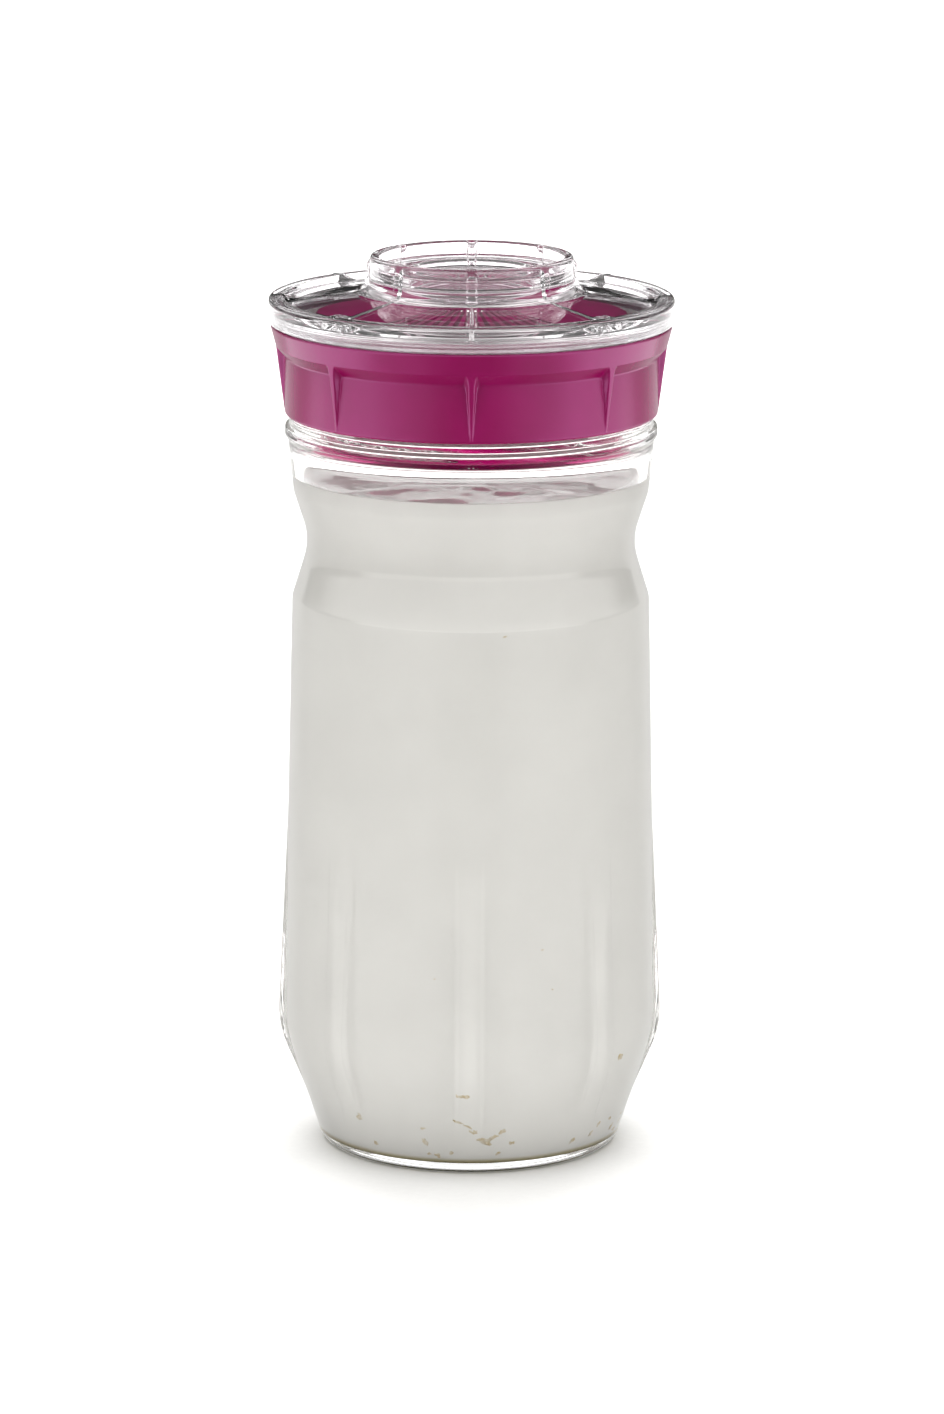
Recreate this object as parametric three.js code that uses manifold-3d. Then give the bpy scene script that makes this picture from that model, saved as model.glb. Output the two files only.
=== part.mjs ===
// A kefir jar: a ribbed glass jar with its filling, and a screw-on lid that strains and closes it.
// Millimetres, +Z up. The origin is the middle of the base, on the surface that the jar stands on.
import * as THREE from 'three';
import { mergeVertices } from 'three/addons/utils/BufferGeometryUtils.js';
import Module from 'manifold-3d';

const wasm = await Module();
wasm.setup();

// Counts
const facets = 40;
const ribCount = 8;
const slotsPerField = 16;

// Gaps between pieces: resting on a seat, and passing each other with play
const seatGap = 0.3;
const slipGap = 0.5;

// Glass jar, heights: each is the rise from the level named before it
const pushUp = 1.6;
const heelRise = 3;
const chamferRise = 26;
const bodyRise = 109;
const waistRise = 17;
const flareRise = 10;
const throatRise = 12.6;
const beadRise = 4;
const shoulderRise = 2.6;
const neckRise = 13.1;

// Glass jar, radii and wall
const footRadius = 36.9;
const standWidth = 5;
const heelRound = 3.6;
const bodyRadius = 46.7;
const ridgeRadius = 44.2;
const waistRadius = 40.7;
const flareRadius = 43.2;
const beadRadius = 45.7;
const beadDepth = 0.8;
const neckRadius = 41;
const glassWall = 3.2;
const baseThickness = 6;
const chamferRound = 7;
const floorRound = 3;
const rimRound = 1.2;

// Ribs on the lower half of the jar
const jarRibRise = 41;
const jarRibHeight = 1.5;
const jarRibWidth = 3.4;

// Screw thread, cut in several starts
const threadStarts = 4;
const threadLead = 20;
const threadHeight = 1.6;
const threadFoot = 2.4;
const threadCrest = 1.2;
const threadMargin = 3.4;
const threadPlay = 0.6;

// Kefir, filled to a headspace below the rim
const headspace = 27.2;

// Jar gasket
const jarGasketThickness = 1.5;

// Screw collar
const collarGap = 0.6;
const collarWall = 2.8;
const collarFlange = 2;
const collarLip = 4.2;
const collarRecess = 3.5;
const collarBand = 5.3;
const collarBandFlare = 1.4;
const collarRibDepth = 2.2;
const collarRibWidth = 3;
const collarChamfer = 2.4;
const collarEdge = 2;
const collarThreadMargin = 2;
const collarTopWidth = 2.7;

// Strainer
const strainerFlange = 2;
const strainerWall = 1.8;
const deckProud = 0.8;
const hubRadius = 8;
const hubHeight = 3.2;
const slotNarrow = 0.45;
const slotWide = 1.5;
const slotLength = 20;
const slotInset = 8;
const slotPitch = THREE.MathUtils.degToRad(5.4);

// Cover gasket
const coverGasketThickness = 1.5;
const coverGasketWidth = 3.2;

// Top cover
const coverOverhang = 0.4;
const coverWall = 2;
const coverRimHeight = 6.2;
const coverRimWidth = 3.6;
const coverRimEdge = 1.2;
const windowDepth = 1.7;
const flangeRise = 3;
const coverNeckRadius = 25;
const coverNeckRise = 10.2;
const coverNeckFillet = 4.2;
const cupWall = 2.4;
const cupDepth = 3.5;
const ledgeWidth = 6.8;
const hubClearance = 1.8;
const coverRibHeight = 0.8;
const coverGableRun = 8;
const coverRibWidth = 3;

// How far a joined piece reaches into its neighbour, and a cut past the face it opens
const embed = 0.6;
const overcut = 1;

// Levels, worked up from the base
const chamferTop = heelRise + chamferRise;
const ridgeLevel = chamferTop + bodyRise;
const waistLevel = ridgeLevel + waistRise;
const flareLevel = waistLevel + flareRise;
const throatLevel = flareLevel + throatRise;
const beadLevel = throatLevel + beadRise;
const shoulderLevel = beadLevel + shoulderRise;
const rimLevel = shoulderLevel + neckRise;
const jarGasketFoot = rimLevel + seatGap;
const strainerFoot = jarGasketFoot + jarGasketThickness + seatGap;
const collarFlangeFoot = strainerFoot + strainerFlange + seatGap;
const collarSeat = collarFlangeFoot + collarFlange;
const collarTop = collarSeat + collarRecess;
const collarFoot = shoulderLevel + collarGap;
const deckTop = collarTop + deckProud;
const coverGasketFoot = collarSeat + seatGap;
const coverSkirtFoot = coverGasketFoot + coverGasketThickness + seatGap;
const coverRimFoot = collarTop + seatGap;
const coverRimTop = coverRimFoot + coverRimHeight;
const flangeOuterLevel = coverRimTop - windowDepth;
const flangeInnerLevel = flangeOuterLevel + flangeRise;
const coverTop = coverRimTop + coverNeckRise;
const ledgeLevel = coverTop - cupDepth;
const wellFloor = deckTop + hubHeight + hubClearance + coverWall;

// Radii, worked out from the neck
const mouthRadius = neckRadius - glassWall;
const boreRadius = neckRadius + threadHeight + threadPlay;
const boreCrest = boreRadius - threadHeight;
const panelRadius = boreRadius + collarWall;
const bandRadius = panelRadius + collarRibDepth;
const collarRadius = bandRadius + collarBandFlare;
const openingRadius = boreRadius - collarLip;
const strainerRim = boreCrest - slipGap;
const riserRadius = openingRadius - slipGap;
const recessRadius = collarRadius - collarTopWidth;
const coverGasketRadius = recessRadius - slipGap;
const coverGasketBore = coverGasketRadius - coverGasketWidth;
const coverRadius = collarRadius + coverOverhang;
const skirtRadius = recessRadius - slipGap;
const skirtBore = skirtRadius - coverWall;
const cupRadius = coverNeckRadius - cupWall;
const wellRadius = cupRadius - ledgeWidth;
const chamferLean = (bodyRadius - footRadius) / chamferRise;
const ribPitch = (2 * Math.PI) / ribCount;

// Merges shared corners, drops empty triangles and turns the faces outwards
function closed(geometry) {
  const plain = geometry.clone();
  plain.deleteAttribute('normal');
  plain.deleteAttribute('uv');
  const merged = mergeVertices(plain, 1e-3);
  const place = merged.getAttribute('position');
  const corner = [new THREE.Vector3(), new THREE.Vector3(), new THREE.Vector3()];
  const triangles = [];
  let volume = 0;
  for (let i = 0; i < merged.index.count; i += 3) {
    const [a, b, c] = [0, 1, 2].map((k) => merged.index.getX(i + k));
    if (a === b || b === c || c === a) continue;
    triangles.push([a, b, c]);
    corner.forEach((point, k) => point.fromBufferAttribute(place, [a, b, c][k]));
    volume += corner[0].dot(corner[1].clone().cross(corner[2]));
  }
  if (volume < 0) triangles.forEach((triangle) => triangle.reverse());
  merged.setIndex(triangles.flat());
  return merged;
}

// A closed geometry as a solid that can be joined and cut
function solid(geometry) {
  const body = closed(geometry);
  const vertProperties = new Float32Array(body.getAttribute('position').array);
  const triVerts = new Uint32Array(body.index.array);
  return new wasm.Manifold(new wasm.Mesh({ numProp: 3, vertProperties, triVerts }));
}

// The geometry of a joined or cut solid
function geometryOf(body) {
  const mesh = body.getMesh();
  const geometry = new THREE.BufferGeometry();
  geometry.setAttribute('position', new THREE.BufferAttribute(mesh.vertProperties, 3));
  geometry.setIndex(new THREE.BufferAttribute(mesh.triVerts, 1));
  return geometry;
}

// A profile of radius and height turned about the Z axis
function turned(profile) {
  const geometry = new THREE.LatheGeometry(profile, facets);
  geometry.rotateX(Math.PI / 2);
  return closed(geometry);
}

// A profile that closes on itself, turned into a ring
function turnedRing(profile) {
  return turned([...profile, profile[0].clone()]);
}

// An upright plate in the plane of radius and height, turned to its place about the Z axis
function plate(outline, width, angle) {
  const shape = new THREE.Shape(outline);
  const geometry = new THREE.ExtrudeGeometry(shape, { depth: width, bevelEnabled: false });
  geometry.rotateX(Math.PI / 2);
  geometry.translate(0, width / 2, 0);
  geometry.rotateZ(angle);
  return geometry;
}

// The radius of a rising outline at a height
function radiusAt(outline, level) {
  for (let i = 1; i < outline.length; i += 1) {
    const [low, high] = [outline[i - 1], outline[i]];
    if (low.y <= level && level <= high.y && high.y > low.y) {
      return THREE.MathUtils.mapLinear(level, low.y, high.y, low.x, high.x);
    }
  }
  return outline[outline.length - 1].x;
}

// One thread start: a tapered ridge that climbs from one level to another along the screw's lead
function threadStart(foot, crest, fromAngle, fromLevel, climb) {
  const turn = (climb / threadLead) * 2 * Math.PI;
  const steps = Math.ceil(turn / (ribPitch / 6));
  const section = [
    [foot, -threadFoot / 2],
    [crest, -threadCrest / 2],
    [crest, threadCrest / 2],
    [foot, threadFoot / 2],
  ];
  const places = [];
  const index = [];
  for (let i = 0; i <= steps; i += 1) {
    const angle = fromAngle + (turn * i) / steps;
    const level = fromLevel + (climb * i) / steps;
    for (const [radius, rise] of section) {
      places.push(radius * Math.cos(angle), radius * Math.sin(angle), level + rise);
    }
  }
  const sides = section.length;
  for (let i = 0; i < steps; i += 1) {
    for (let k = 0; k < sides; k += 1) {
      const here = i * sides + k;
      const beside = i * sides + ((k + 1) % sides);
      index.push(here, beside, here + sides, beside, beside + sides, here + sides);
    }
  }
  const last = steps * sides;
  index.push(0, 2, 1, 0, 3, 2, last, last + 1, last + 2, last, last + 2, last + 3);
  const geometry = new THREE.BufferGeometry();
  geometry.setAttribute('position', new THREE.Float32BufferAttribute(places, 3));
  geometry.setIndex(index);
  return geometry;
}

// The wall of the jar from heel to throat, moved in by an inset: chamfer, body, ridge, waist and flare
function jarWall(inset, heelLevel, curveSteps) {
  const path = new THREE.Path();
  const footLevel = chamferTop - chamferRound;
  path.moveTo(footRadius + (heelLevel - heelRise) * chamferLean - inset, heelLevel);
  path.lineTo(footRadius + (footLevel - heelRise) * chamferLean - inset, footLevel);
  path.quadraticCurveTo(bodyRadius - inset, chamferTop, bodyRadius - inset, chamferTop + chamferRound);
  path.lineTo(ridgeRadius - inset, ridgeLevel);
  path.splineThru([
    new THREE.Vector2((2 * ridgeRadius + waistRadius) / 3 - inset, ridgeLevel + waistRise / 3),
    new THREE.Vector2(waistRadius - inset, waistLevel),
    new THREE.Vector2(flareRadius - inset, flareLevel),
    new THREE.Vector2(beadRadius - beadDepth - inset, throatLevel),
  ]);
  return path.getPoints(curveSteps);
}

// The outside of the jar, from the middle of the base up to the rim
function jarOutside() {
  const path = new THREE.Path();
  const standRadius = footRadius - heelRound;
  path.moveTo(0, pushUp);
  path.lineTo(standRadius - standWidth - pushUp, pushUp);
  path.lineTo(standRadius - standWidth, 0);
  path.lineTo(standRadius, 0);
  path.quadraticCurveTo(footRadius - heelRound / 4, 0, footRadius, heelRise);
  const heel = path.getPoints(3).slice(0, -1);
  const wall = jarWall(0, heelRise, 3);
  const top = new THREE.Path();
  top.moveTo(beadRadius, beadLevel - beadDepth);
  top.lineTo(beadRadius, beadLevel);
  top.lineTo(beadRadius - beadDepth, beadLevel + beadDepth);
  top.lineTo(beadRadius - beadDepth, shoulderLevel - seatGap);
  top.lineTo(neckRadius, shoulderLevel);
  top.lineTo(neckRadius, rimLevel - rimRound);
  top.quadraticCurveTo(neckRadius, rimLevel, neckRadius - rimRound, rimLevel);
  return [...heel, ...wall, ...top.getPoints(2)];
}

// The inside of the jar, from the middle of the floor up to the mouth, moved in by a gap
function jarInside(gap) {
  const inset = glassWall + gap;
  const floor = baseThickness + gap;
  const cornerRadius = footRadius + (floor - heelRise) * chamferLean - inset;
  const path = new THREE.Path();
  path.moveTo(0, floor);
  path.lineTo(cornerRadius - floorRound, floor);
  const wall = jarWall(inset, floor + floorRound, 2);
  path.quadraticCurveTo(cornerRadius, floor, wall[0].x, wall[0].y);
  const bottom = path.getPoints(2).slice(0, -1);
  return [...bottom, ...wall];
}

// The glass jar: walls, mouth, ribs round the lower half and the thread that the collar screws on
function glassJar() {
  const outside = jarOutside();
  const mouth = [
    new THREE.Vector2(mouthRadius, shoulderLevel - seatGap),
    new THREE.Vector2(mouthRadius, rimLevel - rimRound),
    new THREE.Vector2(mouthRadius + rimRound / 2, rimLevel),
  ];
  const inside = [...jarInside(0), ...mouth].reverse();
  let jar = solid(turned([...outside, ...inside]));

  const ribTop = chamferTop + jarRibRise;
  const ribSteps = 10;
  const outer = [];
  const inner = [];
  for (let i = 0; i <= ribSteps; i += 1) {
    const level = THREE.MathUtils.lerp(heelRise, ribTop, i / ribSteps);
    const radius = radiusAt(outside, level);
    const share = level < chamferTop
      ? THREE.MathUtils.mapLinear(level, heelRise, chamferTop, 0, 1)
      : THREE.MathUtils.mapLinear(level, chamferTop, ribTop, 1, 0);
    outer.push(new THREE.Vector2(radius + jarRibHeight * Math.sin(share * Math.PI / 2), level));
    inner.push(new THREE.Vector2(radius - embed, level));
  }
  const ribOutline = [...outer, ...inner.reverse()];
  for (let i = 0; i < ribCount; i += 1) {
    jar = jar.add(solid(plate(ribOutline, jarRibWidth, i * ribPitch)));
  }

  for (let i = 0; i < threadStarts; i += 1) {
    const angle = (i * 2 * Math.PI) / threadStarts;
    const ridge = threadStart(neckRadius - embed, neckRadius + threadHeight, angle,
      shoulderLevel + threadMargin, neckRise - 2 * threadMargin);
    jar = jar.add(solid(ridge));
  }
  return geometryOf(jar);
}

// The kefir: fills the inside of the glass up to its surface
function kefirFill() {
  const surface = rimLevel - headspace;
  const inside = jarInside(seatGap);
  const under = inside.filter((point) => point.y < surface);
  const edge = new THREE.Vector2(radiusAt(inside, surface), surface);
  return turned([...under, edge, new THREE.Vector2(0, surface)]);
}

// A flat ring with softened edges
function flatRing(innerRadius, outerRadius, foot, thickness) {
  const soft = thickness / 4;
  const top = foot + thickness;
  return turnedRing([
    new THREE.Vector2(innerRadius + soft, foot),
    new THREE.Vector2(outerRadius - soft, foot),
    new THREE.Vector2(outerRadius, foot + soft),
    new THREE.Vector2(outerRadius, top - soft),
    new THREE.Vector2(outerRadius - soft, top),
    new THREE.Vector2(innerRadius + soft, top),
    new THREE.Vector2(innerRadius, top - soft),
    new THREE.Vector2(innerRadius, foot + soft),
  ]);
}

// The screw collar: a ring with a plain upper band, panels between fins below it, and a thread inside
function screwCollar() {
  const bandFoot = collarTop - collarBand;
  const path = new THREE.Path();
  path.moveTo(boreRadius + collarEdge / 2, collarFoot);
  path.lineTo(panelRadius - collarEdge, collarFoot);
  path.quadraticCurveTo(panelRadius, collarFoot, panelRadius, collarFoot + collarEdge);
  path.lineTo(panelRadius, bandFoot - collarChamfer);
  path.lineTo(bandRadius, bandFoot);
  path.lineTo(collarRadius, collarTop);
  path.lineTo(recessRadius, collarTop);
  path.lineTo(recessRadius, collarSeat);
  path.lineTo(openingRadius, collarSeat);
  path.lineTo(openingRadius, collarFlangeFoot);
  path.lineTo(boreRadius, collarFlangeFoot);
  path.lineTo(boreRadius, collarFoot + collarEdge / 2);
  let collar = solid(turnedRing(path.getPoints(3)));

  const finOutline = [
    new THREE.Vector2(panelRadius - embed, collarFoot + collarEdge),
    new THREE.Vector2(panelRadius, collarFoot + collarEdge),
    new THREE.Vector2(bandRadius, bandFoot),
    new THREE.Vector2(panelRadius - embed, bandFoot),
  ];
  for (let i = 0; i < ribCount; i += 1) {
    collar = collar.add(solid(plate(finOutline, collarRibWidth, i * ribPitch)));
  }

  const pitch = threadLead / threadStarts;
  const jarThreadFoot = shoulderLevel + threadMargin;
  const jarThreadTop = rimLevel - threadMargin;
  const foot = collarFoot + collarThreadMargin;
  const climb = jarThreadTop - pitch / 2 - foot;
  const lag = ((foot - (jarThreadFoot - pitch / 2)) / threadLead) * 2 * Math.PI;
  for (let i = 0; i < threadStarts; i += 1) {
    const angle = (i * 2 * Math.PI) / threadStarts + lag;
    collar = collar.add(solid(threadStart(boreRadius + embed, boreCrest, angle, foot, climb)));
  }
  return geometryOf(collar);
}

// The strainer: a flange that the collar clamps, a raised deck with two fields of slots, and a hub
function strainer() {
  const deckFoot = deckTop - strainerWall;
  const riserBore = riserRadius - strainerWall;
  const hubTop = deckTop + hubHeight;
  const soft = strainerWall / 2;
  let body = solid(turned([
    new THREE.Vector2(0, deckFoot),
    new THREE.Vector2(riserBore, deckFoot),
    new THREE.Vector2(riserBore, strainerFoot),
    new THREE.Vector2(strainerRim, strainerFoot),
    new THREE.Vector2(strainerRim, strainerFoot + strainerFlange),
    new THREE.Vector2(riserRadius, strainerFoot + strainerFlange),
    new THREE.Vector2(riserRadius, deckTop - soft),
    new THREE.Vector2(riserRadius - soft, deckTop),
    new THREE.Vector2(hubRadius, deckTop),
    new THREE.Vector2(hubRadius - soft, hubTop - soft),
    new THREE.Vector2(hubRadius - 2 * soft, hubTop),
    new THREE.Vector2(0, hubTop),
  ]));
  const slotEnd = riserRadius - slotInset;
  const slotStart = slotEnd - slotLength;
  const wedge = new THREE.Shape([
    new THREE.Vector2(slotStart, -slotNarrow / 2),
    new THREE.Vector2(slotEnd, -slotWide / 2),
    new THREE.Vector2(slotEnd, slotWide / 2),
    new THREE.Vector2(slotStart, slotNarrow / 2),
  ]);
  for (const fieldMiddle of [-Math.PI / 2, Math.PI / 2]) {
    for (let i = 0; i < slotsPerField; i += 1) {
      const slot = new THREE.ExtrudeGeometry(wedge, { depth: strainerWall + 2 * overcut, bevelEnabled: false });
      slot.translate(0, 0, deckFoot - overcut);
      slot.rotateZ(fieldMiddle + (i - (slotsPerField - 1) / 2) * slotPitch);
      body = body.subtract(solid(slot));
    }
  }
  return geometryOf(body);
}

// The top cover: rim, skirt, windowed flange and a neck with a shallow cup and a well, all one clear shell
function topCover() {
  const footRadiusOfNeck = coverNeckRadius + coverNeckFillet;
  const windowRadius = coverRadius - coverRimWidth;
  const path = new THREE.Path();
  path.moveTo(0, wellFloor);
  path.lineTo(wellRadius, wellFloor);
  path.lineTo(wellRadius, ledgeLevel);
  path.lineTo(cupRadius, ledgeLevel);
  path.lineTo(cupRadius, coverTop - cupWall / 3);
  path.lineTo(cupRadius + cupWall / 3, coverTop);
  path.lineTo(coverNeckRadius - cupWall / 3, coverTop);
  path.lineTo(coverNeckRadius, coverTop - cupWall / 3);
  path.lineTo(coverNeckRadius, flangeInnerLevel + coverNeckFillet);
  path.quadraticCurveTo(coverNeckRadius, flangeInnerLevel, footRadiusOfNeck, flangeInnerLevel);
  path.lineTo(windowRadius - windowDepth, flangeOuterLevel);
  path.lineTo(windowRadius, coverRimTop);
  path.lineTo(coverRadius - coverRimEdge, coverRimTop);
  path.quadraticCurveTo(coverRadius, coverRimTop, coverRadius, coverRimTop - coverRimEdge);
  path.lineTo(coverRadius, coverRimFoot);
  path.lineTo(coverRadius - coverWall, coverRimFoot);
  path.lineTo(coverRadius - coverWall, flangeOuterLevel - coverWall);
  path.lineTo(skirtRadius, flangeOuterLevel - coverWall);
  path.lineTo(skirtRadius, coverSkirtFoot);
  path.lineTo(skirtBore, coverSkirtFoot);
  path.lineTo(skirtBore, flangeOuterLevel - coverWall);
  path.lineTo(footRadiusOfNeck, flangeInnerLevel - coverWall);
  path.lineTo(cupRadius, flangeInnerLevel - coverWall + coverNeckFillet / 2);
  path.lineTo(cupRadius, ledgeLevel - coverWall);
  path.lineTo(wellRadius + coverWall, ledgeLevel - coverWall);
  path.lineTo(wellRadius + coverWall, wellFloor - coverWall);
  path.lineTo(0, wellFloor - coverWall);
  let cover = solid(turned(path.getPoints(3)));

  const gableFoot = windowRadius - coverGableRun;
  const gableFlange = THREE.MathUtils.mapLinear(gableFoot, footRadiusOfNeck, windowRadius - windowDepth,
    flangeInnerLevel, flangeOuterLevel);
  const ribOutline = [
    new THREE.Vector2(coverRadius - coverRimEdge, coverRimTop - embed),
    new THREE.Vector2(coverRadius - coverRimEdge, coverRimTop),
    new THREE.Vector2(windowRadius, coverRimTop + coverRibHeight),
    new THREE.Vector2(gableFoot, gableFlange + coverRibHeight),
    new THREE.Vector2(footRadiusOfNeck, flangeInnerLevel + coverRibHeight),
    new THREE.Vector2(coverNeckRadius + coverRibHeight, flangeInnerLevel + coverNeckFillet),
    new THREE.Vector2(coverNeckRadius + coverRibHeight / 2, coverTop - cupWall / 3),
    new THREE.Vector2(coverNeckRadius - embed, coverTop - cupWall / 3),
    new THREE.Vector2(coverNeckRadius - embed, flangeInnerLevel + coverNeckFillet / 2 - embed),
    new THREE.Vector2(footRadiusOfNeck, flangeInnerLevel - embed),
    new THREE.Vector2(windowRadius - windowDepth, flangeOuterLevel - embed),
  ];
  for (let i = 0; i < ribCount; i += 1) {
    cover = cover.add(solid(plate(ribOutline, coverRibWidth, i * ribPitch)));
  }
  return geometryOf(cover);
}

// A named piece with its material
function piece(name, geometry, colour, roughness, opacity = 1) {
  const material = new THREE.MeshStandardMaterial({
    color: colour,
    roughness,
    metalness: 0,
    opacity,
    transparent: opacity < 1,
  });
  const mesh = new THREE.Mesh(geometry, material);
  mesh.name = name;
  return mesh;
}

const kefirJar = new THREE.Group();
kefirJar.add(piece('glass_jar', glassJar(), '#e6ecea', 0.04, 0.35));
kefirJar.add(piece('kefir', kefirFill(), '#e2e0da', 0.5));
kefirJar.add(piece('jar_gasket',
  flatRing(mouthRadius + seatGap, neckRadius - seatGap, jarGasketFoot, jarGasketThickness), '#e9e7e2', 0.6));
kefirJar.add(piece('strainer', strainer(), '#8f1263', 0.4));
kefirJar.add(piece('screw_collar', screwCollar(), '#ab3a85', 0.4));
kefirJar.add(piece('cover_gasket',
  flatRing(coverGasketBore, coverGasketRadius, coverGasketFoot, coverGasketThickness), '#e9e7e2', 0.6));
kefirJar.add(piece('top_cover', topCover(), '#f2f4f4', 0.05, 0.35));

export default kefirJar;
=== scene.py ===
import math
import random

import bpy
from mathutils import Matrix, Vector, noise


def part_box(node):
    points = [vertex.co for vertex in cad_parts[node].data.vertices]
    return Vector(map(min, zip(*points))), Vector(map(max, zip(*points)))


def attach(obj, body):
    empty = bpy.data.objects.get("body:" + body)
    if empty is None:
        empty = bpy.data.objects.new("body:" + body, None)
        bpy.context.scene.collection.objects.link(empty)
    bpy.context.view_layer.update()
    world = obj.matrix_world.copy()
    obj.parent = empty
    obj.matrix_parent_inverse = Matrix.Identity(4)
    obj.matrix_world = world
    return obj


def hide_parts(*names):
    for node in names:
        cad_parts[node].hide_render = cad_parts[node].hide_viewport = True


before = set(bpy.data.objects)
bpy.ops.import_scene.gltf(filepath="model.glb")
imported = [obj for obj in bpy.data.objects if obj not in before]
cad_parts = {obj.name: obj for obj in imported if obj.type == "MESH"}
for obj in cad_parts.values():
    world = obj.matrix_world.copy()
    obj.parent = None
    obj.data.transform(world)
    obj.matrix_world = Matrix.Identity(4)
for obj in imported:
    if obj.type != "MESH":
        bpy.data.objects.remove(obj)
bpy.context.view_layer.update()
mm = 0.001
ribCount = 8
sector = 2 * math.pi / ribCount
bpy.context.scene.view_settings.view_transform = "Standard"
# clear ribbed walls bounce light inside themselves many times
bpy.context.scene.cycles.max_bounces = 20
bpy.context.scene.cycles.glossy_bounces = 10
bpy.context.scene.cycles.transmission_bounces = 16


# foot and top of a CAD piece, in mm
def levels(node):
    return [corner.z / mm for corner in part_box(node)]


jarRim = levels("glass_jar")[1]
kefirTop = levels("kefir")[1]
strainerFoot, hubTop = levels("strainer")
collarFoot, collarTop = levels("screw_collar")
skirtFoot, coverTop = levels("top_cover")
print("frame loaded, jar rim at", round(jarRim, 1), "mm")


def ramp(low, high, value):
    share = min(max((value - low) / (high - low), 0.0), 1.0)
    return share * share * (3 - 2 * share)


def perMetre(sizeInMm):
    return 1 / (sizeInMm * mm)


# slow swellings of a given size, from about -1 to 1; shift moves to another part of the pattern
def lumpiness(place, sizeInMm, smoothness, shift=0):
    lacunarity = 2.0
    octaves = 3
    return noise.fractal(place * perMetre(sizeInMm) + Vector((shift, 0, 0)), smoothness, lacunarity, octaves)


# the point at a radius and height in mm, turned about Z
def around(radius, angle, height):
    return Vector((radius * math.cos(angle), radius * math.sin(angle), height)) * mm


def radiusOf(vertex):
    return math.hypot(vertex.co.x, vertex.co.y) / mm


def scaleRadius(vertex, factor):
    vertex.co.x *= factor
    vertex.co.y *= factor


# corners are (radius, height, rounding) in mm;
# each rounding becomes a soft curve with a support point at both ends
def softOutline(corners, steps=5):
    curveShare = 0.46
    support = 0.25
    supportShare = 0.03
    points = []
    last = len(corners) - 1
    for i, (radius, height, rounding) in enumerate(corners):
        here = Vector((radius, height))
        if rounding == 0 or i in (0, last):
            points.append(here)
            continue
        before = Vector(corners[i - 1][:2]) - here
        after = Vector(corners[i + 1][:2]) - here
        reach = rounding / math.tan(before.angle(after) / 2)
        reach = min(reach, before.length * curveShare, after.length * curveShare)
        start = here + before.normalized() * reach
        end = here + after.normalized() * reach
        points.append(start + before.normalized() * min(support, before.length * supportShare))
        for step in range(steps + 1):
            t = step / steps
            points.append(start * (1 - t) ** 2 + here * (2 * t * (1 - t)) + end * t ** 2)
        points.append(end + after.normalized() * min(support, after.length * supportShare))
    return points


# adds points along the long straight stretches, so that ribs and threads have rows to bend at;
# fine gives stretches of height (low, high, longest) that need closer rows
def fillOutline(points, longest, fine=()):
    filled = [points[0]]
    for here in points[1:]:
        start = filled[-1]
        middle = (start.y + here.y) / 2
        step = min([longest] + [near for low, high, near in fine if low < middle < high])
        count = max(math.ceil((here - start).length / step), 1)
        for i in range(1, count + 1):
            filled.append(start.lerp(here, i / count))
    return filled


def onlySelect(*pieces):
    bpy.ops.object.select_all(action="DESELECT")
    for piece in pieces:
        piece.select_set(True)
    bpy.context.view_layer.objects.active = pieces[0]


def joinPieces(pieces):
    onlySelect(*pieces)
    bpy.ops.object.join()
    return bpy.context.object


# draws an outline as a chain of edges, standing in the plane at an angle about Z
def drawOutline(name, points, angle):
    bpy.ops.mesh.primitive_plane_add(size=mm)
    piece = bpy.context.object
    piece.name = name
    piece.data.name = name
    places = [around(point.x, angle, point.y) for point in points]
    bpy.ops.object.mode_set(mode="EDIT")
    bpy.ops.mesh.merge(type="CENTER")
    bpy.ops.transform.translate(value=places[0])
    for start, end in zip(places, places[1:]):
        bpy.ops.mesh.extrude_region_move(TRANSFORM_OT_translate={"value": end - start})
    return piece


# spin turns clockwise about its axis, so the axis points down
def spinSelected(steps, angle, copies=False):
    bpy.ops.mesh.spin(steps=steps, angle=angle, dupli=copies, center=(0, 0, 0), axis=(0, 0, -1))


# merges what a spin leaves double, and leaves the finished piece selected and shaded smooth
def closeMesh(piece):
    mergeReach = 0.004
    bpy.ops.mesh.select_all(action="SELECT")
    bpy.ops.mesh.remove_doubles(threshold=mergeReach * mm)
    bpy.ops.mesh.normals_make_consistent(inside=False)
    bpy.ops.object.mode_set(mode="OBJECT")
    onlySelect(piece)
    bpy.ops.object.shade_smooth()


# a plain turned piece
def turnPiece(name, points, steps):
    piece = drawOutline(name, points, 0)
    bpy.ops.mesh.select_all(action="SELECT")
    spinSelected(steps, 2 * math.pi)
    closeMesh(piece)
    return piece


# a turned piece whose ribs repeat: one sector is spun finely across its rib and coarsely beyond,
# its points are moved by the rib's own shape, and the sector is then copied round
def turnRibbed(name, points, shape, fineAngle, fineSteps, coarseSteps):
    onAxis = 0.01
    half = math.radians(fineAngle)
    piece = drawOutline(name, points, -half)
    bpy.ops.mesh.select_all(action="SELECT")
    spinSelected(fineSteps, 2 * half)
    spinSelected(coarseSteps, sector - 2 * half)
    bpy.ops.object.mode_set(mode="OBJECT")
    for vertex in piece.data.vertices:
        radius = radiusOf(vertex)
        if radius < onAxis:
            continue
        angle = math.atan2(vertex.co.y, vertex.co.x)
        offset = (angle + sector / 2) % sector - sector / 2
        newRadius, newHeight = shape(radius, vertex.co.z / mm, abs(offset) * radius)
        scaleRadius(vertex, newRadius / radius)
        vertex.co.z = newHeight * mm
    bpy.ops.object.mode_set(mode="EDIT")
    bpy.ops.mesh.select_all(action="SELECT")
    spinSelected(ribCount - 1, sector * (ribCount - 1), copies=True)
    closeMesh(piece)
    return piece


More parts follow.
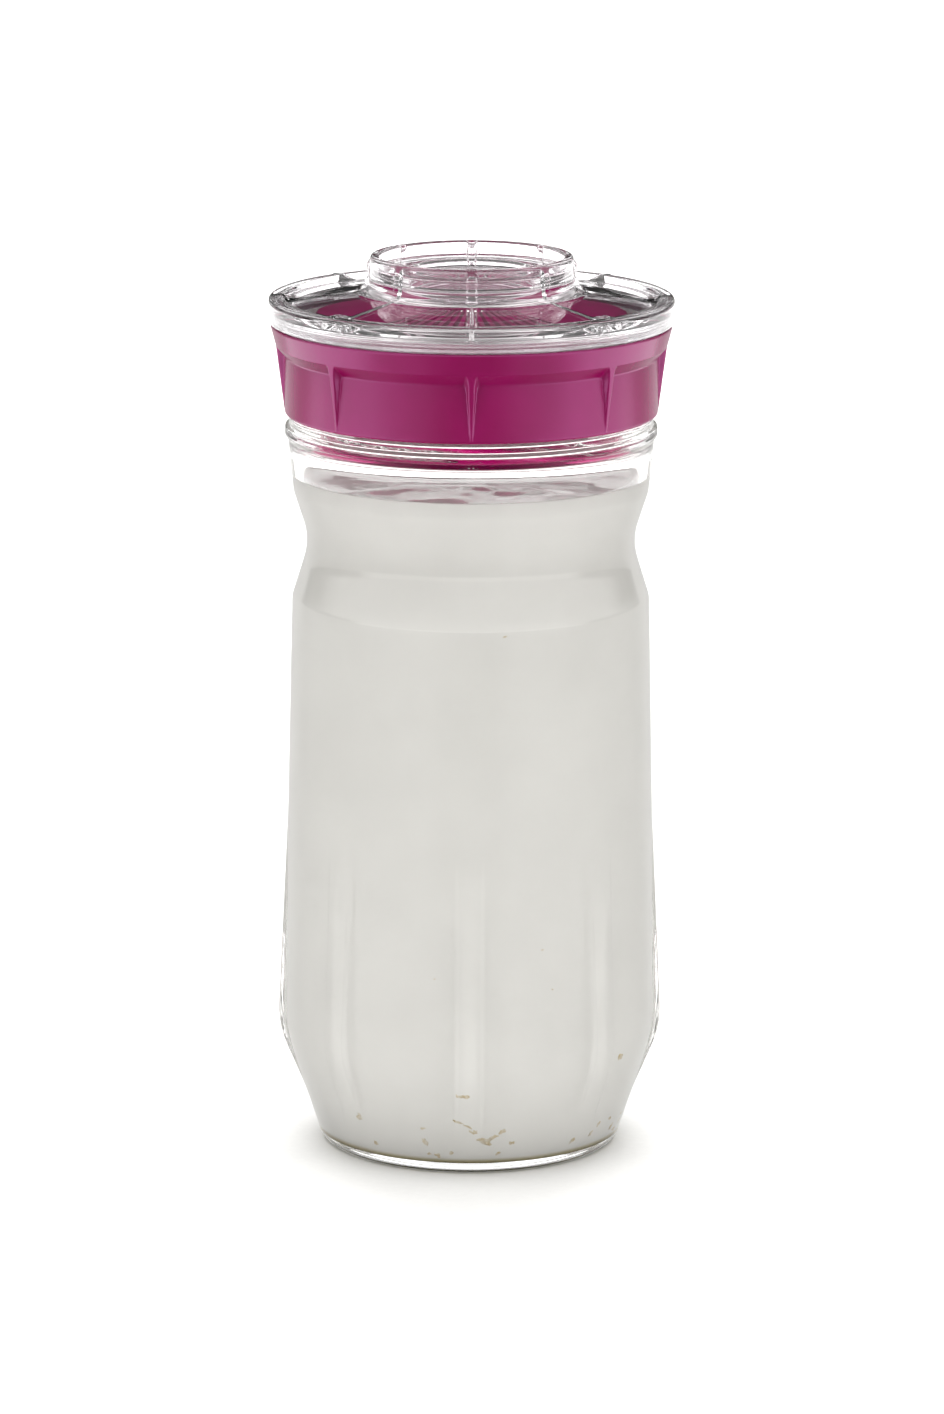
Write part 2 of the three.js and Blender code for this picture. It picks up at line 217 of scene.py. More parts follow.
def linear(hexColour):
    channels = [int(hexColour[i:i + 2], 16) / 255 for i in (1, 3, 5)]
    return tuple(c / 12.92 if c <= 0.04045 else ((c + 0.055) / 1.055) ** 2.4 for c in channels) + (1.0,)


# adds a node, sets its properties and sockets, and links its inputs
def addNode(tree, kind, settings=None, sockets=None, links=None):
    node = tree.nodes.new(kind)
    for key, value in (settings or {}).items():
        setattr(node, key, value)
    for key, value in (sockets or {}).items():
        node.inputs[key].default_value = value
    for key, output in (links or {}).items():
        tree.links.new(output, node.inputs[key])
    return node


def newMaterial(name, sockets):
    material = bpy.data.materials.new(name)
    material.use_nodes = True
    tree = material.node_tree
    tree.nodes.clear()
    shader = addNode(tree, "ShaderNodeBsdfPrincipled", sockets=sockets)
    addNode(tree, "ShaderNodeOutputMaterial", links={"Surface": shader.outputs["BSDF"]})
    place = addNode(tree, "ShaderNodeTexCoord").outputs["Object"]
    return material, tree, shader, place


def addNoise(tree, place, sizeInMm, detail):
    sockets = {"Scale": perMetre(sizeInMm), "Detail": detail}
    return addNode(tree, "ShaderNodeTexNoise", None, sockets, {"Vector": place}).outputs["Fac"]


# two colours, blended where the pattern lies between the two ends
def addColours(tree, pattern, lowHex, highHex, lowEnd=0.0, highEnd=1.0):
    colours = addNode(tree, "ShaderNodeValToRGB", links={"Fac": pattern})
    low, high = colours.color_ramp.elements
    low.color = linear(lowHex)
    low.position = lowEnd
    high.color = linear(highHex)
    high.position = highEnd
    return colours.outputs["Color"]


def roughen(tree, shader, pattern, low, high):
    matt = addNode(tree, "ShaderNodeMapRange", None, {"To Min": low, "To Max": high}, {"Value": pattern})
    tree.links.new(matt.outputs["Result"], shader.inputs["Roughness"])


def emboss(tree, shader, pattern, strength, depthInMm):
    sockets = {"Strength": strength, "Distance": depthInMm * mm}
    bump = addNode(tree, "ShaderNodeBump", None, sockets, {"Height": pattern})
    tree.links.new(bump.outputs["Normal"], shader.inputs["Normal"])


# soda-lime glass, pressed and fire polished: clear, very smooth, with slow waves left by the mould
def makeJarGlass():
    material, tree, shader, place = newMaterial("sodaLimeGlass", {
        "Base Color": linear("#FBFBFA"), "Roughness": 0.0, "IOR": 1.52, "Transmission Weight": 1.0})
    waves = addNoise(tree, place, sizeInMm=16, detail=1.0)
    emboss(tree, shader, waves, strength=0.25, depthInMm=0.12)
    return material


# clear styrene plastic, injection moulded in a polished tool: bright, with faint flow waves
def makeCoverPlastic():
    material, tree, shader, place = newMaterial("clearStyrene", {
        "Base Color": linear("#FBF9FB"), "Roughness": 0.0, "IOR": 1.57, "Transmission Weight": 1.0})
    waves = addNoise(tree, place, sizeInMm=9, detail=1.0)
    emboss(tree, shader, waves, strength=0.2, depthInMm=0.05)
    return material


# polypropylene moulded in a fine spark-eroded tool: satin, with a grit of about 0.35 mm,
# drawn a little coarser than it is so that it shows, and slow cloudy changes of colour
def makeMagentaPlastic(name, deepHex, lightHex, shine, rough):
    material, tree, shader, place = newMaterial(name, {
        "IOR": 1.6, "Specular IOR Level": shine, "Specular Tint": linear("#FFB6F8"),
        "Subsurface Weight": 0.08, "Subsurface Scale": 0.8 * mm, "Subsurface Radius": (1.0, 0.35, 0.6)})
    clouds = addNoise(tree, place, sizeInMm=14, detail=3.0)
    colours = addColours(tree, clouds, deepHex, lightHex, lowEnd=0.3, highEnd=0.7)
    tree.links.new(colours, shader.inputs["Base Color"])
    grit = addNoise(tree, place, sizeInMm=0.5, detail=2.0)
    spread = 0.03
    roughen(tree, shader, grit, low=rough - spread, high=rough + spread)
    emboss(tree, shader, grit, strength=0.02, depthInMm=0.03)
    return material


# kefir, a thick cultured milk: opaque and wet, slightly cloudy, with soft curds of about 3 mm,
# and its colour turns tan over the lowest few mm, towards the floor of the jar
def makeKefir():
    tanBandTop = 4.6
    tanBandFoot = 3.2
    material, tree, shader, place = newMaterial("kefirMilk", {"IOR": 1.36, "Roughness": 0.06})
    clouds = addNoise(tree, place, sizeInMm=22, detail=4.0)
    colours = addColours(tree, clouds, "#EFEEEB", "#F3F2EF", lowEnd=0.35, highEnd=0.65)
    height = addNode(tree, "ShaderNodeSeparateXYZ", links={"Vector": place}).outputs["Z"]
    # the colour turns tan over the lowest few mm of the kefir, at the floor of the jar
    low = addNode(tree, "ShaderNodeMapRange", {"interpolation_type": "SMOOTHSTEP"},
                  {"From Min": tanBandTop * mm, "From Max": tanBandFoot * mm}, {"Value": height})
    bottomTan = addNode(tree, "ShaderNodeMix", {"data_type": "RGBA"}, {"B": linear("#C2B68C")},
                      {"Factor": low.outputs["Result"], "A": colours})
    tree.links.new(bottomTan.outputs["Result"], shader.inputs["Base Color"])
    curds = addNoise(tree, place, sizeInMm=3, detail=3.0)
    emboss(tree, shader, curds, strength=0.08, depthInMm=0.2)
    return material


# kefir grains: rubbery lumps of culture, tan where they press on the glass
def makeGrain():
    material, tree, shader, place = newMaterial("kefirGrain", {"IOR": 1.38, "Roughness": 0.35})
    spots = addNoise(tree, place, sizeInMm=1.2, detail=3.0)
    colours = addColours(tree, spots, "#CDB98E", "#E6DFD0", lowEnd=0.35, highEnd=0.65)
    tree.links.new(colours, shader.inputs["Base Color"])
    return material


# silicone rubber, moulded: milky and soft looking, with a faint matt bloom
def makeSilicone():
    material, tree, shader, place = newMaterial("siliconeRubber", {
        "IOR": 1.41, "Subsurface Weight": 0.4, "Subsurface Scale": 1.5 * mm,
        "Subsurface Radius": (1.0, 1.0, 0.95)})
    bloom = addNoise(tree, place, sizeInMm=4, detail=4.0)
    roughen(tree, shader, bloom, low=0.42, high=0.6)
    colours = addColours(tree, bloom, "#E4E1DC", "#F0EEEA")
    tree.links.new(colours, shader.inputs["Base Color"])
    return material


def dress(piece, material, body, slot, *nodes):
    piece.data.materials.clear()
    piece.data.materials.append(material)
    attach(piece, body)
    if nodes:
        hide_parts(*nodes)


# lengths are in mm and angles in degrees, here and in the other pieces;
# the names that start with inner are levels of the inside, and skin tells the outside from it
jar = {
    "ringBore": 29.5, "pushUp": 0.7, "standRadius": 37.0, "heelRound": 3.4,
    "bodyRadius": 46.7, "chamferTop": 29, "chamferRound": 34,
    "ridgeRadius": 44.3, "ridgeLevel": 138.8,
    "waistRadius": 40.7, "waistFoot": 150.4, "waistTop": 155.6, "waistRound": 20,
    "flareRadius": 43.9, "flareLevel": 165.4, "throatRadius": 45.2, "throatLevel": 178.6,
    "beadRadius": 46.0, "beadFoot": 179.8, "beadTop": 181.7,
    "lipRadius": 44.9, "lipFoot": 182.3, "shoulder": 184.2,
    "neckRadius": 41, "neckFoot": 184.5, "rimRound": 1.3,
    "wall": 2.4, "floor": 2.9, "floorRadius": 38.4, "innerChamfer": 29.5, "innerRidge": 138.3,
    "innerWaistTop": 156.1, "innerFlare": 165.9, "innerThroat": 177.1, "innerShoulder": 185.2,
    "ribTop": 84, "ribFoot": 9, "ribPeak": 31, "ribHeight": 1.4, "ribFlat": 2.7, "ribSpread": 3.6,
    "skin": 1.7, "row": 4,
}
# a start of the screw is as wide as foot at its root and as crest at its top, to each side of its middle,
# and rises over the angle soft at both ends
thread = {
    "starts": 4, "lead": 20, "height": 1.6, "foot": 1.2, "crest": 0.6, "soft": 8,
    "margin": 3.4, "skin": 0.15, "reach": 2, "row": 0.6, "rowMargin": 1,
}


# the inside from the mouth down, moved in by an inset
def jarInside(inset):
    wall = jar["wall"] + inset
    return [
        (jar["neckRadius"] - wall, jar["innerShoulder"], 5),
        (jar["throatRadius"] - wall, jar["innerThroat"], 9),
        (jar["flareRadius"] - wall, jar["innerFlare"], 8),
        (jar["waistRadius"] - wall, jar["innerWaistTop"], jar["waistRound"]),
        (jar["waistRadius"] - wall, jar["waistFoot"], jar["waistRound"]),
        (jar["ridgeRadius"] - wall, jar["innerRidge"], 12),
        (jar["bodyRadius"] - wall, jar["innerChamfer"], jar["chamferRound"]),
        (jar["floorRadius"] - wall, jar["floor"] + inset, 4),
        (0, jar["floor"] + inset, 0),
    ]


# pushes the points of a round wall out, or in where height is below zero, along each start of the screw
def raiseThread(piece, wallRadius, height, low, climb, lag):
    turn = 360 * climb / thread["lead"]
    pitch = 360 / thread["starts"]
    for vertex in piece.data.vertices:
        radius = radiusOf(vertex)
        level = vertex.co.z / mm
        inBand = low - thread["reach"] < level < low + climb + thread["reach"]
        if abs(radius - wallRadius) > thread["skin"] or not inBand:
            continue
        angle = math.degrees(math.atan2(vertex.co.y, vertex.co.x)) - lag
        push = 0
        for start in range(thread["starts"]):
            along = (angle - start * pitch) % 360
            if along < turn:
                away = abs(level - low - thread["lead"] * along / 360)
                side = min(max((thread["foot"] - away) / (thread["foot"] - thread["crest"]), 0), 1)
                ends = ramp(0, thread["soft"], along) * ramp(turn, turn - thread["soft"], along)
                push = max(push, side * ends)
        scaleRadius(vertex, 1 + push * height / radius)


def buildJar():
    outside = [
        (0, jar["pushUp"], 0),
        (jar["ringBore"] - jar["pushUp"], jar["pushUp"], 1.2),
        (jar["ringBore"], 0, 1),
        (jar["standRadius"], 0, jar["heelRound"]),
        (jar["bodyRadius"], jar["chamferTop"], jar["chamferRound"]),
        (jar["ridgeRadius"], jar["ridgeLevel"], 6),
        (jar["waistRadius"], jar["waistFoot"], jar["waistRound"]),
        (jar["waistRadius"], jar["waistTop"], jar["waistRound"]),
        (jar["flareRadius"], jar["flareLevel"], 5),
        (jar["throatRadius"], jar["throatLevel"], 1),
        (jar["beadRadius"], jar["beadFoot"], 0.7),
        (jar["beadRadius"], jar["beadTop"], 0.7),
        (jar["lipRadius"], jar["lipFoot"], 0.4),
        (jar["lipRadius"], jar["shoulder"], 0.6),
        (jar["neckRadius"], jar["neckFoot"], 0.8),
        (jar["neckRadius"], jarRim, jar["rimRound"]),
        (jar["neckRadius"] - jar["wall"], jarRim, jar["rimRound"]),
    ]
    neckRows = (jar["shoulder"] + thread["rowMargin"], jarRim - thread["rowMargin"], thread["row"])
    outline = fillOutline(softOutline(outside + jarInside(0)), jar["row"], [neckRows])

    # a flat-topped rib that rises from the heel to the top of the chamfer and fades up the body
    def rib(radius, height, aside):
        lean = (jar["bodyRadius"] - jar["standRadius"]) / jar["chamferTop"]
        outer = min(jar["standRadius"] + lean * height, jar["bodyRadius"])
        if radius < outer - jar["skin"] or not jar["ribFoot"] < height < jar["ribTop"]:
            return radius, height
        rise = ramp(jar["ribFoot"], jar["ribPeak"], height)
        fade = min((jar["ribTop"] - height) / (jar["ribTop"] - jar["ribPeak"]), 1)
        across = 1 - ramp(jar["ribFlat"], jar["ribSpread"], aside)
        return radius + jar["ribHeight"] * rise * fade * across, height

    piece = turnRibbed("glassJar", outline, rib, fineAngle=5.2, fineSteps=28, coarseSteps=10)
    raiseThread(piece, jar["neckRadius"], thread["height"], jar["shoulder"] + thread["margin"],
                jarRim - jar["shoulder"] - 2 * thread["margin"], 0)
    return piece


kefir = {
    "overlap": 0.08, "meniscus": 0.9, "meniscusReach": 2.2, "dip": 1, "row": 2.5, "steps": 144,
    "lump": 0.35, "lumpSize": 11, "lumpDepth": 0.4, "lumpEdge": 0.6, "lumpFade": 6,
}


def buildKefir():
    inside = [corner for corner in reversed(jarInside(-kefir["overlap"])) if corner[1] < kefirTop]
    share = (kefirTop - jar["flareLevel"]) / (jar["throatLevel"] - jar["flareLevel"])
    edge = jar["flareRadius"] - jar["wall"] + kefir["overlap"]
    edge += share * (jar["throatRadius"] - jar["flareRadius"])
    top = [
        (edge, kefirTop, 0.3),
        (edge - kefir["meniscusReach"], kefirTop - kefir["meniscus"], 3),
        (0, kefirTop - kefir["dip"], 0),
    ]
    outline = fillOutline(softOutline(inside + top), kefir["row"])
    piece = turnPiece("kefirFill", outline, kefir["steps"])
    # the top is lumpy where curds float
    lowest = kefirTop - kefir["meniscus"] - kefir["lumpDepth"]
    for vertex in piece.data.vertices:
        inward = edge - radiusOf(vertex)
        if vertex.co.z / mm > lowest and inward > kefir["lumpEdge"]:
            lump = kefir["lump"] * lumpiness(vertex.co, kefir["lumpSize"], smoothness=1.0)
            vertex.co.z += lump * mm * ramp(0, kefir["lumpFade"], inward)
    return piece


# flecks are (degrees from the front, height, length, width, tilt): those seen in the photograph,
# and as many as count, drawn at random, round the sides and back
grains = {
    "seen": (
        (-1.8, 22.6, 1.3, 0.8, 10), (-4.1, 14.9, 1.7, 0.35, 20), (-0.9, 13.7, 1.5, 0.4, 28),
        (1.5, 12.2, 1.2, 0.8, 40), (4.3, 10.1, 1.9, 1.1, 25), (6.4, 9.0, 1.2, 0.8, 30),
        (9.3, 10.6, 1.4, 0.6, -35), (12.3, 12.2, 1.3, 0.6, -50), (16.0, 8.6, 0.9, 0.6, 0),
        (-15.1, 5.4, 0.6, 0.5, 0), (-12.1, 5.3, 1.1, 0.7, 40), (-6.8, 6.0, 0.9, 0.5, -10),
        (11.2, 5.8, 1.0, 0.5, -30), (42.3, 6.8, 1.4, 0.7, -35), (52.1, 7.6, 1.5, 0.6, -55),
        (55.5, 9.4, 1.0, 0.5, -60), (-42.7, 13.4, 1.3, 0.8, 60), (-37.8, 6.6, 1.0, 0.6, 30),
        (-16.8, 12.5, 0.9, 0.5, -15), (-16.6, 9.1, 1.4, 0.7, 70), (56.5, 27.3, 1.5, 1.0, 15),
        (23.5, 58.4, 0.4, 0.25, 0), (26.9, 48.2, 0.4, 0.25, 30), (11.2, 137, 0.6, 0.3, 0),
        (-11.1, 51.8, 0.4, 0.2, 0),
    ),
    "count": 34, "seed": 7, "lowest": 5, "heightSpread": 0.5, "heightReach": 14,
    "turn": (62, 298), "length": (0.5, 1.9), "width": (0.3, 1.0), "tilt": (-60, 60),
    "deep": 0.5, "proud": 0.14, "knob": 0.45, "knobSize": 0.7, "knobShift": 7.3,
}


def insideRadius(height, outline):
    for start, end in zip(outline, outline[1:]):
        if start.y <= height <= end.y and end.y > start.y:
            return start.lerp(end, (height - start.y) / (end.y - start.y)).x
    return outline[-1].x


def buildGrains():
    draw = random.Random(grains["seed"])
    wall = softOutline(list(reversed(jarInside(-kefir["overlap"]))))
    flecks = list(grains["seen"])
    drawn = ("turn", "length", "width", "tilt")
    for i in range(grains["count"]):
        height = grains["lowest"] + abs(draw.gauss(0, grains["heightSpread"])) * grains["heightReach"]
        turn, length, width, tilt = [draw.uniform(*grains[name]) for name in drawn]
        flecks.append((turn, height, length, width, tilt))
    lumps = []
    for i, (turn, height, length, width, tilt) in enumerate(flecks):
        bpy.ops.mesh.primitive_ico_sphere_add(subdivisions=4, radius=mm)
        lump = bpy.context.object
        for vertex in lump.data.vertices:
            knob = lumpiness(vertex.co, grains["knobSize"], smoothness=0.8, shift=i * grains["knobShift"])
            vertex.co *= 1 + grains["knob"] * knob
        lump.scale = (grains["deep"], length, width)
        bpy.ops.object.transform_apply(location=False, rotation=False, scale=True)
        lump.rotation_euler = (math.radians(-tilt), 0, 0)
        bpy.ops.object.transform_apply(location=False, rotation=True, scale=False)
        angle = math.radians(turn - 90)
        reach = insideRadius(height, wall) - grains["deep"] + grains["proud"]
        lump.location = around(reach, angle, height)
        lump.rotation_euler = (0, 0, angle)
        bpy.ops.object.transform_apply(location=True, rotation=True, scale=False)
        lumps.append(lump)
    piece = joinPieces(lumps)
    piece.name = "kefirGrains"
    bpy.ops.object.shade_smooth()
    return piece


collar = {
    "footRadius": 46.0, "footRound": 2, "bandRadius": 48.2, "bandHeight": 5.3, "bandRound": 6,
    "topRadius": 49.6, "recess": 46.9, "recessDepth": 3.5, "opening": 39, "flange": 2,
    "bore": 43.2, "boreEdge": 0.9, "chamfer": 2.6,
    "row": 0.7, "pocketRow": 0.4, "pocketRowFoot": 1, "pocketRowTop": 0.5,
    "finFoot": 0.25, "finSpread": 0.6, "finSlope": 3.0, "pocketRound": 2.2, "pocketFoot": 0.5, "skin": 0.6,
    "threadMargin": 2, "threadClimb": 4.6, "threadLag": 30.6,
}


def buildCollar():
    bandFoot = collarTop - collar["bandHeight"]
    seat = collarTop - collar["recessDepth"]
    corners = [
        (collar["bore"] + collar["boreEdge"], collarFoot, 0),
        (collar["footRadius"], collarFoot, collar["footRound"]),
        (collar["bandRadius"], bandFoot, collar["bandRound"]),
        (collar["topRadius"], collarTop, 0.5),
        (collar["recess"], collarTop, 0.4),
        (collar["recess"], seat, 0.4),
        (collar["opening"], seat, 0.5),
        (collar["opening"], seat - collar["flange"], 0.4),
        (collar["bore"], seat - collar["flange"], 0.5),
        (collar["bore"], collarFoot + collar["boreEdge"], 0.4),
        (collar["bore"] + collar["boreEdge"], collarFoot, 0),
    ]
    rowsFrom = collarFoot + collar["pocketRowFoot"]
    rowsTo = bandFoot + collar["pocketRowTop"]
    outline = fillOutline(softOutline(corners), collar["row"], [(rowsFrom, rowsTo, collar["pocketRow"])])
    lean = (collar["bandRadius"] - collar["footRadius"]) / (bandFoot - collarFoot)
    bevelFoot = bandFoot - collar["chamfer"]
    bevelSlope = lean * (bevelFoot - collarFoot) / collar["chamfer"]

    # eight pockets are sunk into the leaning wall, with a bevel above and a fin left at each side
    def pocket(radius, height, aside):
        inBand = collarFoot + collar["pocketFoot"] < height < bandFoot
        if not inBand or radius < collar["footRadius"] - collar["skin"]:
            return radius, height
        climb = (height - collarFoot) / (bandFoot - collarFoot)
        fromTop = (bandFoot - height) * bevelSlope
        fromFin = (aside - collar["finFoot"] - collar["finSpread"] * climb) * collar["finSlope"]
        blend = max(collar["pocketRound"] - abs(fromTop - fromFin), 0) ** 2 / (4 * collar["pocketRound"])
        depth = max(min(fromTop, fromFin) - blend, 0)
        return max(radius - depth, min(radius, collar["footRadius"])), height

    piece = turnRibbed("screwCollar", outline, pocket, fineAngle=6.0, fineSteps=48, coarseSteps=10)
    raiseThread(piece, collar["bore"], -thread["height"], collarFoot + collar["threadMargin"],
                collar["threadClimb"], collar["threadLag"])
    return piece


strainer = {
    "rim": 41.1, "flange": 2, "riser": 38.5, "wall": 1.8, "deckRise": 2.4, "steps": 120,
    "hubFoot": 9, "hubCrown": 7.4, "hubHeight": 3.2,
    "slots": 16, "slotPitch": 5.4, "slotStart": 10.5, "slotEnd": 30.5, "slotNarrow": 0.45, "slotWide": 1.5,
    "slotCut": 8, "slotLevel": 0.3, "crease": 40,
}


# a wedge that cuts one slot
def slotCutter(angle, level):
    length = strainer["slotEnd"] - strainer["slotStart"]
    middle = (strainer["slotStart"] + strainer["slotEnd"]) / 2
    bpy.ops.mesh.primitive_cube_add(size=1)
    cutter = bpy.context.object
    for vertex in cutter.data.vertices:
        width = strainer["slotWide"] if vertex.co.x > 0 else strainer["slotNarrow"]
        vertex.co = vertex.co * Vector((length, width, strainer["slotCut"])) * mm
    cutter.location = around(middle, angle, level)
    cutter.rotation_euler = (0, 0, angle)
    return cutter


def buildStrainer():
    deckTop = hubTop - strainer["hubHeight"]
    deckFoot = deckTop - strainer["wall"]
    flangeTop = strainerFoot + strainer["flange"]
    bore = strainer["riser"] - strainer["wall"]
    corners = [
        (0, deckFoot + strainer["deckRise"], 0),
        (bore, deckFoot, 0.8),
        (bore, strainerFoot, 0.5),
        (strainer["rim"], strainerFoot, 0.5),
        (strainer["rim"], flangeTop, 0.5),
        (strainer["riser"], flangeTop, 0.6),
        (strainer["riser"], deckTop, 1.2),
        (strainer["hubFoot"], deckTop + strainer["deckRise"], 0.5),
        (strainer["hubCrown"], hubTop, 0.4),
        (0, hubTop, 0),
    ]
    piece = turnPiece("strainerDisc", softOutline(corners, steps=4), strainer["steps"])
    cutters = []
    for field in (-math.pi / 2, math.pi / 2):
        for i in range(strainer["slots"]):
            angle = field + math.radians((i - (strainer["slots"] - 1) / 2) * strainer["slotPitch"])
            cutters.append(slotCutter(angle, deckTop + strainer["slotLevel"]))
    comb = joinPieces(cutters)
    onlySelect(piece)
    cut = piece.modifiers.new("slots", "BOOLEAN")
    cut.operation = "DIFFERENCE"
    cut.solver = "EXACT"
    cut.object = comb
    bpy.ops.object.modifier_apply(modifier=cut.name)
    bpy.data.objects.remove(comb)
    bpy.ops.object.shade_smooth_by_angle(angle=math.radians(strainer["crease"]))
    return piece


jarSeal = {"node": "jar_gasket", "inner": 38.1, "outer": 40.7}
coverSeal = {"node": "cover_gasket", "inner": 43.2, "outer": 46.4}
sealShape = {"edge": 0.5, "steps": 128}


def buildSeal(name, seal):
    foot, top = levels(seal["node"])
    middle = (seal["inner"] + seal["outer"]) / 2
    corners = [
        (middle, foot, 0),
        (seal["outer"], foot, sealShape["edge"]),
        (seal["outer"], top, sealShape["edge"]),
        (seal["inner"], top, sealShape["edge"]),
        (seal["inner"], foot, sealShape["edge"]),
        (middle, foot, 0),
    ]
    return turnPiece(name, softOutline(corners, steps=4), sealShape["steps"])


# the window is the flange inside the rim; the names that start with under shape the flange's lower side
cover = {
    "radius": 50, "wall": 2, "seatGap": 0.3, "rimHeight": 6.2, "rimWidth": 3.6, "rimEdge": 1.2,
    "windowDepth": 1.7, "windowLean": 0.9, "flangeRise": 3.2, "grooves": 3, "grooveDepth": 0.3,
    "neckRadius": 25, "neckLean": 0.4, "neckFillet": 4.2, "cupWall": 2.4, "cupDepth": 3.5, "ledge": 6.8,
    "hubGap": 1.8, "skirtRadius": 46.4, "skirtWall": 2, "underReach": 3, "underDrop": 0.4, "underRise": 1.6,
    "ribHeight": 0.4, "ribHalfWidth": 0.4, "gableRun": 6, "gableSpread": 1.5, "gableBump": 0.4,
    "gableStart": 1.9, "gableEnd": 0.1, "skin": 0.8, "row": 1.2,
    "postHeight": 0.7, "postFlat": 0.7, "postSpread": 1.5, "postReach": 1.6, "postFoot": 0.4,
    "postFade": 2.2, "postEnd": 0.7,
}


def buildCover():
    wall = cover["wall"]
    neck = cover["neckRadius"]
    rimFoot = collarTop + cover["seatGap"]
    rimTop = rimFoot + cover["rimHeight"]
    outerLevel = rimTop - cover["windowDepth"]
    innerLevel = outerLevel + cover["flangeRise"]
    ledgeLevel = coverTop - cover["cupDepth"]
    cup = neck - cover["cupWall"]
    well = cup - cover["ledge"]
    wellFloor = hubTop + cover["hubGap"] + wall
    window = cover["radius"] - cover["rimWidth"]
    skirtBore = cover["skirtRadius"] - cover["skirtWall"]
    top = [
        (0, wellFloor, 0),
        (well, wellFloor, 1.2),
        (well, ledgeLevel, 0.9),
        (cup, ledgeLevel, 0.8),
        (cup, coverTop, 0.9),
        (neck, coverTop, 1.0),
        (neck + cover["neckLean"], innerLevel, cover["neckFillet"]),
        (window - cover["windowLean"], outerLevel, 0.8),
        (window, rimTop, 0.5),
        (cover["radius"], rimTop, cover["rimEdge"]),
    ]
    # the inside of the rim is grooved
    inner = cover["radius"] - wall
    pitch = (outerLevel - wall - rimFoot) / cover["grooves"]
    grooves = []
    for i in range(cover["grooves"]):
        grooves.append((inner, rimFoot + i * pitch, 0.5))
        grooves.append((inner + cover["grooveDepth"], rimFoot + (i + 0.5) * pitch, 0.5))
    under = [
        (cover["radius"], rimFoot, 0.7),
        *grooves,
        (inner, outerLevel - wall, 0.5),
        (cover["skirtRadius"], outerLevel - wall, 0.5),
        (cover["skirtRadius"], skirtFoot, 0.6),
        (skirtBore, skirtFoot, 0.6),
        (skirtBore, outerLevel - wall, 1.2),
        (neck + cover["underReach"], innerLevel - wall - cover["underDrop"], 2.4),
        (cup, innerLevel - wall + cover["underRise"], 1.5),
        (cup, ledgeLevel - wall, 0.8),
        (well + wall, ledgeLevel - wall, 1.2),
        (well + wall, wellFloor - wall, 1.0),
        (0, wellFloor - wall, 0),
    ]
    outline = fillOutline(softOutline(top + under), cover["row"])
    gableRise = rimTop + cover["gableBump"] - outerLevel - cover["ribHeight"]

    # each rib is a low roof that widens to a gable on the rim, and a slim post up the neck
    def rib(radius, height, aside):
        run = (radius - neck) / (window - neck)
        flange = innerLevel + (outerLevel - innerLevel) * min(run, 1)
        if abs(radius - neck) < cover["postReach"] and height > innerLevel + cover["postFoot"]:
            post = 1 - ramp(cover["postFlat"], cover["postSpread"], aside)
            upward = 1 - ramp(coverTop - cover["postFade"], coverTop - cover["postEnd"], height)
            return radius + cover["postHeight"] * post * upward, height
        if radius < neck or height < flange - cover["skin"]:
            return radius, height
        gable = ramp(window - cover["gableRun"], window, radius)
        halfWidth = cover["ribHalfWidth"] + cover["gableSpread"] * gable
        ridge = flange + cover["ribHeight"] + gableRise * gable
        outer = 1 - ramp(cover["radius"] - cover["gableStart"], cover["radius"] - cover["gableEnd"], radius)
        roof = flange + (ridge - flange) * (1 - aside / halfWidth)
        return radius, height + max(roof - height, 0) * outer

    return turnRibbed("topCover", outline, rib, fineAngle=5.6, fineSteps=34, coarseSteps=9)


# light values of the studio, then degrees above the horizon, then where each part fades in,
# as heights, distances aside and distances back on a unit sphere
stage = {
    "floorSize": 9, "floorHex": "#DCDCDB", "fibreHex": "#E2E2E1", "tint": "#FFFEFC",
    "room": 0.05, "low": 0.5, "ground": 0.8, "screen": 1.22, "front": 1.65,
    "frontFoot": -1, "screenFoot": 8, "screenTop": 60,
    "horizon": (0.02, -0.02), "lowAside": (0.2, 0.5), "groundBack": (0.6, 0.9),
    "screenBack": (0.75, 0.4), "frontBack": (-0.05, -0.35),
    "frontSoft": 0.03, "screenSoft": 0.05, "topSoft": 0.1,
}


# matt white paper with a faint fibre; it stays out of mirror reflections, which see the studio below
def buildFloor():
    bpy.ops.mesh.primitive_plane_add(size=stage["floorSize"])
    floor = bpy.context.object
    floor.name = "paleFloor"
    material, tree, shader, place = newMaterial("matPaper", {"Roughness": 0.8})
    fibre = addNoise(tree, place, sizeInMm=2, detail=2.0)
    tones = addColours(tree, fibre, stage["floorHex"], stage["fibreHex"])
    tree.links.new(tones, shader.inputs["Base Color"])
    floor.data.materials.append(material)
    floor.visible_glossy = False


